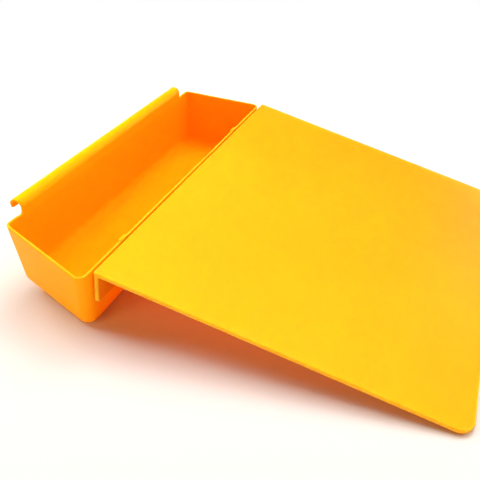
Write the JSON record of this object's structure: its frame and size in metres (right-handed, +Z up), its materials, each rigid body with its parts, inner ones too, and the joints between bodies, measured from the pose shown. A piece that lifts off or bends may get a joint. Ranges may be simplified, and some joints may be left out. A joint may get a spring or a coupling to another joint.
{
  "type": "cutting board with catch tray",
  "caption": "Thin plastic cutting board with a folded flange, and a deep tapered catch tray that snaps onto it and has a rolled hanging hook.",
  "frame": {"origin": "centre of the footprint on the table, with the pair standing on the board's free edge and the tray's inner foot edge", "axes": "+X from the tray's hook side across the board to its free edge, +Y along the fold, +Z up"},
  "size_m": [0.3922, 0.341, 0.0865],
  "materials": {
    "board_plastic": "satin moulded polypropylene, warm yellow",
    "tray_plastic": "satin moulded polypropylene, warm yellow-orange"
  },
  "bodies": {
    "board": {"cutting_board": "board_plastic"},
    "tray": {"catch_tray": "tray_plastic"}
  },
  "joints": [
    {"name": "tray_tilt", "type": "hinge", "parent": "board", "child": "tray", "pos_m": [-0.10009, 0.00551, 0.05641], "axis": [0, 1, 0], "range_deg": [0, 12]}
  ]
}
